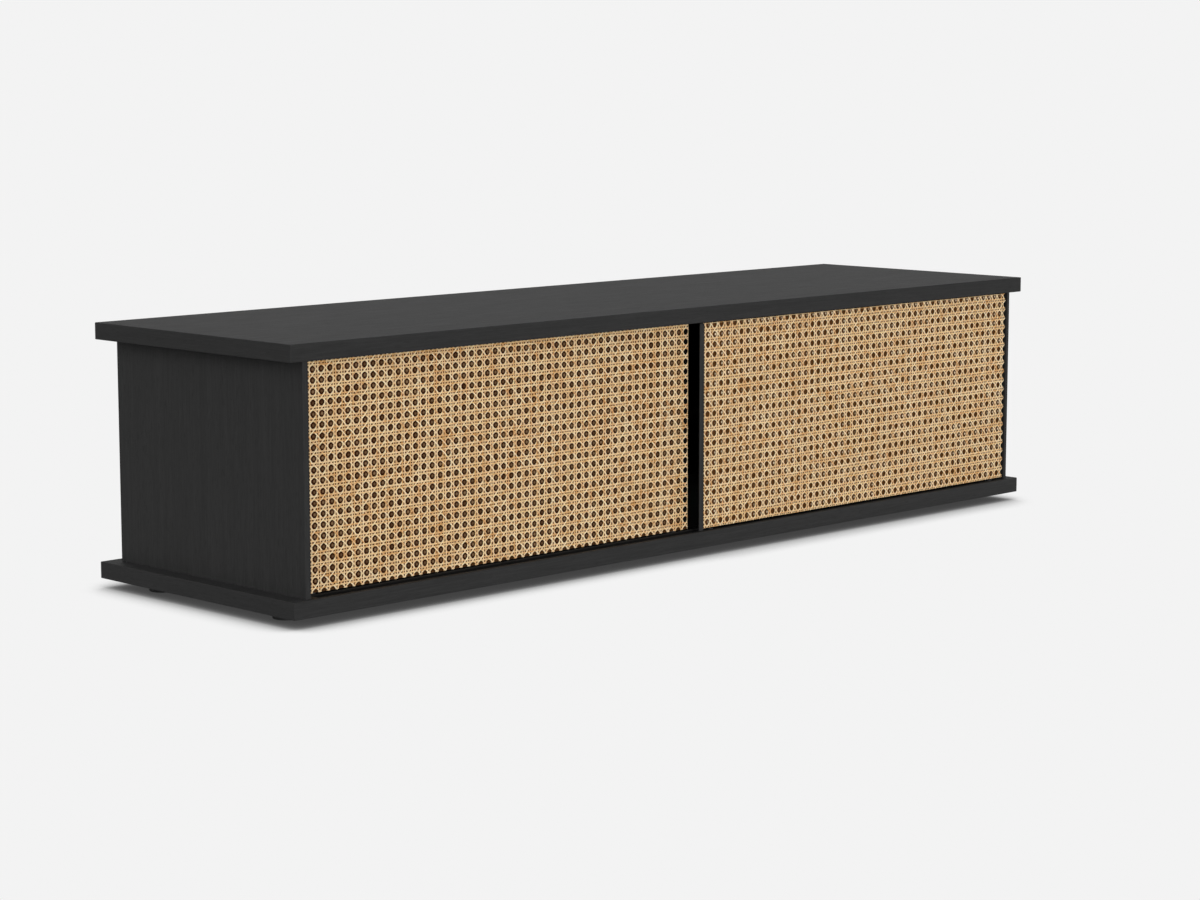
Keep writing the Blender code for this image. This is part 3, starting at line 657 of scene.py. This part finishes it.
@dataclass
class CaneSheet:
    """The woven cane of one door: upright and level pairs of strands with two sets of diagonals through them.

    The holes lie on a square grid. A pair of strands runs midway between neighbouring columns, and another
    between neighbouring rows. The falling diagonals go over the uprights and under the level pairs, and the
    rising ones the other way round, so that a diagonal of each set crosses midway between every two
    neighbouring holes.
    """

    door: str
    meeting_inset: float
    meets_at_high_x: bool
    row_inset: float
    board: BoardFinish
    seed: int
    meeting_trim: float = 0.0
    bottom_trim: float = 0.0
    pitch: float = HOLE_PITCH
    pair_half_gap: float = 2.35 * MM
    pair_width: float = 2.4 * MM
    diagonal_width: float = 2.2 * MM
    thickness: float = 0.8 * MM
    pair_wave: float = 0.34 * MM
    diagonal_wave: float = 0.58 * MM
    middle: float = 0.85 * MM
    wander: float = 0.36 * MM
    width_spread: float = 0.15
    edge_reach: float = 3.2 * MM
    edge_width: float = 1.0 * MM
    pair_tones: tuple[Span, Span] = ((0.45, 1.05), (0.15, 0.9))
    diagonal_tones: Span = (0.0, 0.5)
    tone_bunching: float = 2.0
    sway_rates: Span = (21.0, 47.0)
    pitch_steps: int = 8
    crest_power: float = 0.6
    spare_diagonals: int = 3

    def __post_init__(self) -> None:
        """Read the sheet's place from its solid, and the place of one hole in it."""
        low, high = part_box(f"{self.door}_cane")
        self.low = np.array((low.x, low.z))
        self.high = np.array((high.x, high.z))
        self.level = low.y + self.middle
        column = high.x - self.meeting_inset if self.meets_at_high_x else low.x + self.meeting_inset
        self.hole = np.array((column, low.z + self.row_inset))
        self.low[1] += self.bottom_trim
        end = self.high if self.meets_at_high_x else self.low
        end[0] += -self.meeting_trim if self.meets_at_high_x else self.meeting_trim
        self.random = np.random.default_rng(self.seed)

    def grid(self, axis: int) -> np.ndarray:
        """Return the places midway between the holes along X (0) or Z (1), one beyond each end."""
        first = math.floor((self.low[axis] - self.hole[axis]) / self.pitch) - 1
        last = math.ceil((self.high[axis] - self.hole[axis]) / self.pitch) + 1
        return self.hole[axis] + (np.arange(first, last) + 0.5) * self.pitch

    def weave_pairs(self, axis: int) -> bpy.types.Mesh:
        """Return the strands that run along X (0) or Z (1), in pairs.

        A strand's height over the sheet's middle is a whole sine wave over twice the pair's spacing, centred
        on each crossing of pairs, and zero between crossings. The two strands of a pair have opposite waves,
        and those along X are opposite to those along Z.

        Args:
            axis: The axis that the strands run along.

        Returns:
            The mesh of all of them.
        """
        cross = 1 - axis
        places = self.grid(cross)
        sides = np.array((-1.0, 1.0))
        lines = (places[:, None] + sides * self.pair_half_gap).ravel()
        signs = np.tile(sides, len(places)) * (1.0 if axis else -1.0)
        apart = 2 * self.pair_half_gap
        steps = np.array((-0.5 * self.pitch, -apart, -apart / 2, 0.0, apart / 2, apart))
        crossings = self.grid(axis)
        along = (crossings[:, None] + steps).ravel()
        wave = np.where(np.abs(steps) <= apart, np.sin(np.pi * steps / apart), 0.0)
        bend = np.tile(wave, len(crossings))
        low, high = self.low[cross], self.high[cross]
        inside = np.maximum(low - lines, lines - high) < self.edge_reach
        signs = signs[inside]
        edges = np.clip(lines[inside] + sides[:, None] * self.pair_width / 2, low, high)
        width = np.maximum(edges[1] - edges[0], self.edge_width)
        lines = np.clip(edges.mean(axis=0), low + width / 2, high - width / 2)
        flat = np.zeros((len(lines), len(along), 2))
        flat[:, :, axis] = np.clip(along, self.low[axis], self.high[axis])
        flat[:, :, cross] = lines[:, None]
        height = self.pair_wave * signs[:, None] * bend
        return self.ribbons(f"{self.door}_pairs_{axis}", flat, height, width, self.pair_tones[axis])

    def weave_diagonals(self, rise: int) -> bpy.types.Mesh:
        """Return the diagonal strands that rise (1) or fall (-1) towards +X.

        A strand crosses an upright pair and a level pair in turn, half a pitch apart, so its height is a wave
        of one pitch: the cosine of the phase from a hole's column on the rising ones, with its crests
        broadened by a power below 1, and the opposite on the falling ones.

        Args:
            rise: The way that the strands slope.

        Returns:
            The mesh of all of them.
        """
        span = self.high - self.low
        count = math.ceil((span[0] + span[1]) / self.pitch) + self.spare_diagonals
        start = self.hole[1] - rise * self.hole[0]
        reach = (self.low[1] - max(rise * self.low[0], rise * self.high[0]) - start) / self.pitch
        offsets = start + (math.floor(reach) - 0.5 + np.arange(count)) * self.pitch
        steps = np.arange(-count * self.pitch_steps, count * self.pitch_steps + 1)
        stations = self.hole[0] + steps * self.pitch / self.pitch_steps
        edges = np.stack((self.low[1] - offsets, self.high[1] - offsets)) * rise
        left = np.maximum(edges.min(axis=0), self.low[0])
        right = np.minimum(edges.max(axis=0), self.high[0])
        kept = right - left > self.pair_width
        x = np.clip(stations, left[kept, None], right[kept, None])
        flat = np.stack((x, offsets[kept, None] + rise * x), axis=2)
        wave = rise * np.cos(2 * np.pi * (x - self.hole[0]) / self.pitch)
        height = self.diagonal_wave * np.sign(wave) * np.abs(wave) ** self.crest_power
        width = np.full(len(flat), self.diagonal_width)
        return self.ribbons(f"{self.door}_diagonals_{rise}", flat, height, width, self.diagonal_tones)

    def ribbons(
        self, name: str, flat: np.ndarray, height: np.ndarray, width: np.ndarray, tones: Span
    ) -> bpy.types.Mesh:
        """Carry a lens shaped section along many strands at once.

        A section has four corners: half the strand's width to either side in the sheet's plane, and half its
        thickness before and behind. Two slow sines of their own phases let each strand wander sideways.
        Stations that lie on top of each other, where a strand was clipped at the sheet's edge, make no faces.

        Args:
            name: The mesh's name.
            flat: Array of shape (strands, stations, 2) of X and Z.
            height: How far each station stands before the sheet's middle, of shape (strands, stations).
            width: Each strand's width.
            tones: The palest and the deepest tone that a strand can have, of 0 to 1.

        Returns:
            The mesh, with a map named strand and an attribute named tone.
        """
        strands, stations = flat.shape[:2]
        run = flat[:, -1] - flat[:, 0]
        run /= np.linalg.norm(run, axis=1, keepdims=True)
        side = np.stack((-run[:, 1], run[:, 0]), axis=1)
        along = ((flat - flat[:, :1]) * run[:, None]).sum(axis=2)
        phase = self.random.uniform(0, 2 * np.pi, (2, strands, 1))
        waves = [np.sin(along * rate + start) for rate, start in zip(self.sway_rates, phase)]
        sway = self.wander * (waves[0] + waves[1]) / 2
        flat = flat + sway[:, :, None] * side[:, None]
        wider = self.width_spread * self.random.uniform(-1, 1, (strands, 1, 1))
        half = width[:, None, None] / 2 * (1 + wider)
        corners = np.empty((strands, stations, 4, 3))
        corners[..., 0::2] = flat[:, :, None]
        corners[..., 1] = self.level - height[:, :, None]
        offsets = (np.array((1.0, 0.0, -1.0, 0.0))[None, :, None] * half) * side[:, None]
        corners[..., 0::2] += offsets[:, None]
        corners[..., 1] += np.array((0.0, -0.5, 0.0, 0.5)) * self.thickness
        numbers = np.arange(corners[..., 0].size).reshape(strands, stations, 4)
        live = np.diff(along, axis=1) > LEAST_STEP
        turned = np.roll(numbers, -1, axis=2)
        quads = np.stack((numbers[:, :-1], numbers[:, 1:], turned[:, 1:], turned[:, :-1]), axis=-1)[live]
        first = live.argmax(axis=1)
        last = stations - 1 - live[:, ::-1].argmax(axis=1)
        rows = np.arange(strands)
        caps = np.concatenate((numbers[rows, first], numbers[rows, last][:, ::-1]))
        faces = np.concatenate((quads.reshape(-1, 4), caps))
        chance = self.random.beta(self.tone_bunching, self.tone_bunching, strands)
        tone = tones[0] + (tones[1] - tones[0]) * np.repeat(chance, stations * 4)
        around = np.tile(np.arange(4) / 4, strands * stations)
        lengths = np.repeat(along.ravel(), 4)
        used, faces = np.unique(faces, return_inverse=True)
        faces = faces.reshape(-1, 4)
        mesh = smooth_mesh(name, corners.reshape(-1, 3)[used], faces.tolist())
        mesh.attributes.new("tone", "FLOAT", "POINT").data.foreach_set("value", tone[used])
        turns = around[used][faces]
        comes_round = turns.max(axis=1, keepdims=True) == around.max()
        turns = np.where((turns == 0.0) & comes_round, 1.0, turns)
        chart = np.stack((lengths[used][faces], turns), axis=-1)
        mesh.uv_layers.new(name="strand").data.foreach_set("uv", chart.ravel().astype(np.float32))
        return mesh

    def board_finish(self) -> BoardFinish:
        """Return the finish of the board behind the sheet, with its painted light and shade behind the holes.
        """
        return replace(self.board, hole=tuple(self.hole.tolist()), pitch=self.pitch)

    def build(self) -> None:
        """Weave the four sets of strands and put them in place of the plain net."""
        sets = {
            "uprights": self.weave_pairs(1),
            "levels": self.weave_pairs(0),
            "rising_diagonals": self.weave_diagonals(1),
            "falling_diagonals": self.weave_diagonals(-1),
        }
        for label, mesh in sets.items():
            add_piece(f"{self.door}_cane_{label}", mesh, CANE, self.door, f"{self.door}_cane")


def soften(profile: Profile, radius: float, steps: int, closed: bool) -> np.ndarray:
    """Round the corners of a profile.

    Each corner C gives a quadratic curve from C + d to C + e, where d and e reach radius along the sides to
    its two neighbours, but never past their middles: (1-t)^2 (C+d) + 2 t (1-t) C + t^2 (C+e).

    Args:
        profile: Points of (radius, height).
        radius: How far from a corner its rounding starts.
        steps: Points in each rounding.
        closed: Whether the profile is a closed ring, or else keeps its two end points.

    Returns:
        Array of shape (n, 2).
    """
    points = np.array(profile)
    ends = []
    for neighbour in (1, -1):
        way = np.roll(points, neighbour, axis=0) - points
        share = np.minimum(radius / np.linalg.norm(way, axis=1, keepdims=True), NEAR_MIDDLE)
        ends.append((points + share * way)[:, None])
    t = np.linspace(0, 1, steps)[None, :, None]
    curve = (1 - t) ** 2 * ends[0] + 2 * t * (1 - t) * points[:, None] + t**2 * ends[1]
    if closed:
        return curve.reshape(-1, 2)
    return np.concatenate((points[:1], curve[1:-1].reshape(-1, 2), points[-1:]))


def turned_mesh(
    name: str, profile: np.ndarray, centre: np.ndarray, axis: Axis, closed: bool
) -> bpy.types.Mesh:
    """Turn a profile about an axis: a point at angle a is (r cos a, r sin a, h), with the axis third.

    Args:
        name: The mesh's name.
        profile: Array of (radius, height) points; an open one starts and ends on the axis.
        centre: The point on the axis that heights are measured from.
        axis: The axis of turning.
        closed: Whether the profile is a closed ring.

    Returns:
        The mesh, smooth but for its sharp edges.
    """
    angles = np.linspace(0, 2 * np.pi, TURNED_SIDES, endpoint=False)
    rings = profile if closed else profile[1:-1]
    radius, height = rings.T
    circle = np.stack((np.cos(angles), np.sin(angles), np.ones(TURNED_SIDES)), axis=-1)
    local = (circle * np.stack((radius, radius, height), axis=-1)[:, None]).reshape(-1, 3)
    numbers = np.arange(len(local)).reshape(len(rings), TURNED_SIDES)
    onward = np.roll(numbers, -1, axis=1)
    below, below_onward = (np.roll(corner, -1, axis=0) for corner in (numbers, onward))
    quads = np.stack((numbers, below, below_onward, onward), axis=-1)
    faces = (quads if closed else quads[:-1]).reshape(-1, 4).tolist()
    if not closed:
        faces += [numbers[0].tolist(), numbers[-1][::-1].tolist()]
    world = local[:, axis.value] + centre
    return smooth_mesh(name, world, faces, SHARP_DEGREES)


@dataclass
class TurnedPiece:
    """A round piece that is turned more finely than its solid, to the size of the solid's box."""

    node: str
    body: str
    slot: str
    finish: Finish
    axis: Axis
    rounding: float = 0.6 * MM
    round_steps: int = 5

    def __post_init__(self) -> None:
        """Read the piece's centre, half length and radius from its solid."""
        low, high = (np.array(corner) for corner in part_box(self.node))
        self.centre = (low + high) / 2
        along = "XYZ".index(self.axis.name)
        self.half = float((high - low)[along] / 2)
        self.radius = float(np.delete(high - low, along).max() / 2)

    def outline(self) -> tuple[Profile, bool]:
        """Return the profile from the top down its outer side, and whether it is a closed ring."""
        half, radius = self.half, self.radius
        return [(0.0, half), (radius, half), (radius, -half), (0.0, -half)], False

    def build(self) -> None:
        """Turn the piece and put it in place of its solid."""
        outline, closed = self.outline()
        profile = soften(outline, self.rounding, self.round_steps, closed)
        mesh = turned_mesh(self.node, profile, self.centre, self.axis, closed)
        add_piece(f"{self.node}_turned", mesh, self.finish, self.body, self.node)


@dataclass
class Foot(TurnedPiece):
    """A round glide on a thin stem that is set into the base."""

    stem_length: float = 15.0 * MM
    stem_radius: float = 4.0 * MM
    seat_gap: float = 0.3 * MM
    rounding: float = 1.8 * MM

    def outline(self) -> tuple[Profile, bool]:
        """Return the stem's end, the pad's top, its side and its sole."""
        top = self.half - self.stem_length - self.seat_gap
        return [
            (0.0, self.half),
            (self.stem_radius, self.half),
            (self.stem_radius, top),
            (self.radius, top),
            (self.radius, -self.half),
            (0.0, -self.half),
        ], False


@dataclass
class Wheel(TurnedPiece):
    """A running wheel with a bore for its axle and a shallow dish in each face."""

    bore_radius: float = 1.8 * MM
    dish: float = 0.5 * MM
    rim: float = 1.1 * MM
    rounding: float = 0.5 * MM

    def outline(self) -> tuple[Profile, bool]:
        """Return the bore, the hub's face, the dish, the rim's face and the tread."""
        hub = self.bore_radius + self.rim / 2
        inner = self.radius - self.rim
        upper = [
            (self.bore_radius, self.half),
            (hub, self.half),
            (hub + self.dish, self.half - self.dish),
            (inner - self.dish, self.half - self.dish),
            (inner, self.half),
            (self.radius, self.half),
        ]
        return upper + [(radius, -height) for radius, height in reversed(upper)], True


@dataclass
class Grommet(TurnedPiece):
    """A cable outlet's lining: a tube through the back panel with a flange on its rear face."""

    wall: float = 4.0 * MM
    flange: float = 5.0 * MM
    flange_thickness: float = 2.0 * MM
    rounding: float = 0.9 * MM

    def outline(self) -> tuple[Profile, bool]:
        """Return the bore's rear edge, the flange, the tube and the bore's front edge."""
        tube = self.radius - self.flange
        bore = tube - self.wall
        step = self.half - self.flange_thickness
        return [
            (bore, self.half),
            (self.radius, self.half),
            (self.radius, step),
            (tube, step),
            (tube, -self.half),
            (bore, -self.half),
        ], True


@dataclass
class Carcass:
    """The oak case: slabs, uprights, backs and shelves, with its feet, grommets, pins and channels."""

    lengthwise: tuple[str, ...] = ("top_slab", "base_slab", "left_shelf", "right_shelf")
    upright: tuple[str, ...] = (
        "left_side_panel",
        "right_side_panel",
        "centre_divider",
        "left_back_panel",
        "right_back_panel",
    )
    channels: tuple[str, ...] = ("head_track", "front_guide_channel", "rear_guide_channel")
    feet: tuple[str, ...] = ("left_front", "left_rear", "right_front", "right_rear", "centre")
    body: str = "carcass"

    def build(self) -> None:
        """Turn the feet, the grommets and the shelf pins."""
        for place in self.feet:
            Foot(f"{place}_foot", self.body, "black_plastic", PLASTIC, Axis.Z).build()
        for side in ("left", "right"):
            Grommet(f"{side}_cable_grommet", self.body, "black_plastic", PLASTIC, Axis.Y).build()
            for end in ("outer", "inner"):
                for place in ("front", "rear"):
                    pin = f"{side}_shelf_pin_{end}_{place}"
                    TurnedPiece(pin, self.body, "bright_steel", STEEL, Axis.X).build()

    def dress(self, nodes: dict[str, bpy.types.Object]) -> None:
        """Give the kept solids their finishes."""
        dress(nodes, self.lengthwise, OAK[GrainRun.LENGTHWISE])
        dress(nodes, self.upright, OAK[GrainRun.UPRIGHT])
        dress(nodes, self.channels, ALUMINIUM)


@dataclass
class Door:
    """A sliding door: its oak frame, backing board, woven cane and running gear."""

    name: str
    frame: dict[str, OakFinish]
    cane: CaneSheet
    ends: tuple[str, ...] = ("left", "right")
    axle_rounding: float = 0.3 * MM

    def build(self) -> None:
        """Weave the cane and turn the axles, wheels and guide pins."""
        self.cane.build()
        for end in self.ends:
            stem = f"{self.name}_{end}"
            TurnedPiece(f"{stem}_axle", self.name, "bright_steel", STEEL, Axis.Y, self.axle_rounding).build()
            TurnedPiece(f"{stem}_guide_pin", self.name, "black_plastic", PLASTIC, Axis.Z).build()
            for place in ("front", "rear"):
                Wheel(f"{stem}_{place}_wheel", f"{stem}_wheels", "grey_nylon", NYLON, Axis.Y).build()

    def dress(self, nodes: dict[str, bpy.types.Object]) -> None:
        """Give the kept solids their finishes."""
        for member, finish in self.frame.items():
            dress(nodes, (f"{self.name}_{member}",), finish)
        dress(nodes, (f"{self.name}_backing_board",), self.cane.board_finish())
        dress(nodes, tuple(f"{self.name}_{end}_carriage" for end in self.ends), STEEL)


def dress(nodes: dict[str, bpy.types.Object], names: tuple[str, ...], finish: Finish) -> None:
    """Give kept solids a finish.

    Args:
        nodes: The frame's solids by name.
        names: Those that are dressed.
        finish: What they are dressed in.
    """
    for name in names:
        nodes[name].data.materials.clear()
        nodes[name].data.materials.append(finish.material())
        LOG.info("%s: kept, in %s", name, finish.name)


@dataclass(frozen=True)
class Softbox:
    """A broad lamp far away: its strength and, in degrees, the angle that it fills, its tilt and its turn.

    The tilt is from overhead towards the front, and the turn is about the upright axis.
    """

    name: str
    strength: float
    angle: float
    tilt: float
    turn: float

    def build(self) -> None:
        """Hang the lamp."""
        lamp = bpy.data.lights.new(self.name, "SUN")
        lamp.energy = self.strength
        lamp.angle = math.radians(self.angle)
        light = add_object(self.name, lamp)
        light.rotation_euler = (math.radians(self.tilt), 0.0, math.radians(self.turn))


@dataclass
class Studio:
    """A pale floor that runs into a pale surround, soft light from low all round, and the camera.

    What the camera and mirrors see of the surround and the floor is one pale grey. The floor darkens there
    only where the unit shuts it off from the air close by, and everything else sees the floor as plain matt
    grey. The surround gives a ring of light: its strength times (1 - height) squared, where height is the
    sine of the elevation.
    """

    pale: float = 0.896
    ring: float = 2.0
    floor_grey: float = 0.15
    floor_half: float = 60.0
    shadow_reach: float = 0.11
    shadow_depth: float = 0.055
    shadow_open: float = 0.86
    shadow_power: float = 1.7
    lamps: tuple[Softbox, ...] = (
        Softbox("front_light", strength=2.12, angle=14.0, tilt=84.0, turn=-11.0),
        Softbox("side_light", strength=0.92, angle=40.0, tilt=50.0, turn=-90.0),
    )
    camera_place: tuple[float, float, float] = (-3.5943, -3.5945, 0.8789)
    camera_turn: tuple[float, float, float] = (math.radians(82), 0.0, math.radians(-45))
    lens: float = 85.0
    sensor: float = 36.0

    def build_camera(self) -> None:
        """Stand the camera at the photograph's viewpoint."""
        data = bpy.data.cameras.new("camera")
        data.lens = self.lens
        data.sensor_width = self.sensor
        data.sensor_fit = "HORIZONTAL"
        camera = add_object("camera", data)
        camera.location = self.camera_place
        camera.rotation_euler = self.camera_turn
        bpy.context.scene.camera = camera

    def seen(self, sketch: NodeSketch) -> Socket:
        """Return 1 for what the camera, a mirror or glass sees, and 0 for plain light."""
        path = sketch.add("LightPath").outputs
        mirrored = sketch.math("MAXIMUM", path["Is Glossy Ray"], path["Is Transmission Ray"])
        return sketch.math("MAXIMUM", path["Is Camera Ray"], mirrored)

    def build_light(self) -> None:
        """Light the surround as a ring and hang the lamps."""
        for lamp in self.lamps:
            lamp.build()
        world = bpy.data.worlds.new("surround")
        world.use_nodes = True
        sketch = NodeSketch(world.node_tree)
        height = sketch.split(sketch.add("TexCoord").outputs["Generated"])["Z"]
        low = sketch.spread(height, *UNIT, 1.0, 0.0)
        lit = sketch.math("MULTIPLY", sketch.math("POWER", low, 2.0), self.ring)
        seen = self.seen(sketch)
        plain = sketch.math("MULTIPLY", lit, sketch.math("SUBTRACT", 1.0, seen))
        strength = sketch.math("ADD", plain, sketch.math("MULTIPLY", seen, self.pale))
        background = world.node_tree.nodes["Background"]
        background.inputs["Color"].default_value = (1.0, 1.0, 1.0, 1.0)
        sketch.feed(background.inputs["Strength"], strength)
        bpy.context.scene.world = world

    def floor_material(self) -> bpy.types.Material:
        """Return matt grey for light, and pale grey with the unit's contact shadow for what is seen."""
        material = bpy.data.materials.new("floor")
        material.use_nodes = True
        sketch = NodeSketch(material.node_tree)
        matt = material.node_tree.nodes["Principled BSDF"]
        matt.inputs["Base Color"].default_value = (*(self.floor_grey,) * 3, 1.0)
        matt.inputs["Roughness"].default_value = 1.0
        matt.inputs["Specular IOR Level"].default_value = 0.0
        air = sketch.add("AmbientOcclusion", samples=16)
        air.inputs["Distance"].default_value = self.shadow_reach
        open_air = sketch.spread(air.outputs["AO"], 0.0, self.shadow_open)
        lifted = sketch.math("POWER", open_air, self.shadow_power)
        share = sketch.spread(lifted, *UNIT, self.shadow_depth, 1.0)
        glow = sketch.outputs_of("Emission", (*(self.pale,) * 3, 1.0), share)[0]
        surface = sketch.outputs_of("MixShader", self.seen(sketch), matt.outputs[0], glow)[0]
        sketch.feed(material.node_tree.nodes["Material Output"].inputs["Surface"], surface)
        return material

    def build_floor(self) -> None:
        """Lay the floor."""
        corners = self.floor_half * np.array(((-1, -1, 0), (1, -1, 0), (1, 1, 0), (-1, 1, 0)))
        mesh = bpy.data.meshes.new("floor")
        mesh.from_pydata(corners.tolist(), [], [(1, 2, 3, 0)])
        mesh.materials.append(self.floor_material())
        floor = add_object("floor", mesh)

    def build(self) -> None:
        """Set up the camera, the light and the floor."""
        self.build_camera()
        self.build_light()
        self.build_floor()
        bpy.context.scene.view_settings.view_transform = "Standard"


def main() -> None:
    """Load the frame, and build and dress each sub-assembly."""
    logging.basicConfig(level=logging.INFO, format="%(message)s")
    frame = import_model()
    Studio().build()
    carcass = Carcass()
    left_cane = CaneSheet(
        "left_door",
        meeting_inset=7.08 * MM,
        meets_at_high_x=True,
        row_inset=0.42 * MM,
        board=LEFT_BOARD,
        seed=SEED,
        meeting_trim=1.1 * MM,
    )
    right_cane = CaneSheet(
        "right_door",
        meeting_inset=12.99 * MM,
        meets_at_high_x=False,
        row_inset=11.77 * MM,
        board=RIGHT_BOARD,
        seed=SEED + 1,
        bottom_trim=1.8 * MM,
    )
    # Frame members in dead black, painted shade; the pull stile in plain oak.
    painted_shade_rails, painted_shade_stiles, pull = FRAME_PAINTED_SHADE[GrainRun.LENGTHWISE], FRAME_PAINTED_SHADE[GrainRun.UPRIGHT], OAK[GrainRun.UPRIGHT]
    left_frame = {"bottom_rail": LINING, "top_rail": LINING, "outer_stile": painted_shade_stiles, "meeting_stile": painted_shade_stiles}
    right_frame = {"bottom_rail": painted_shade_rails, "top_rail": LINING, "pull_stile": pull, "outer_stile": painted_shade_stiles}
    left_door = Door("left_door", left_frame, left_cane)
    right_door = Door("right_door", right_frame, right_cane)
    for assembly in (carcass, left_door, right_door):
        assembly.build()
        assembly.dress(frame["nodes"])


if __name__ == "__main__":
    main()
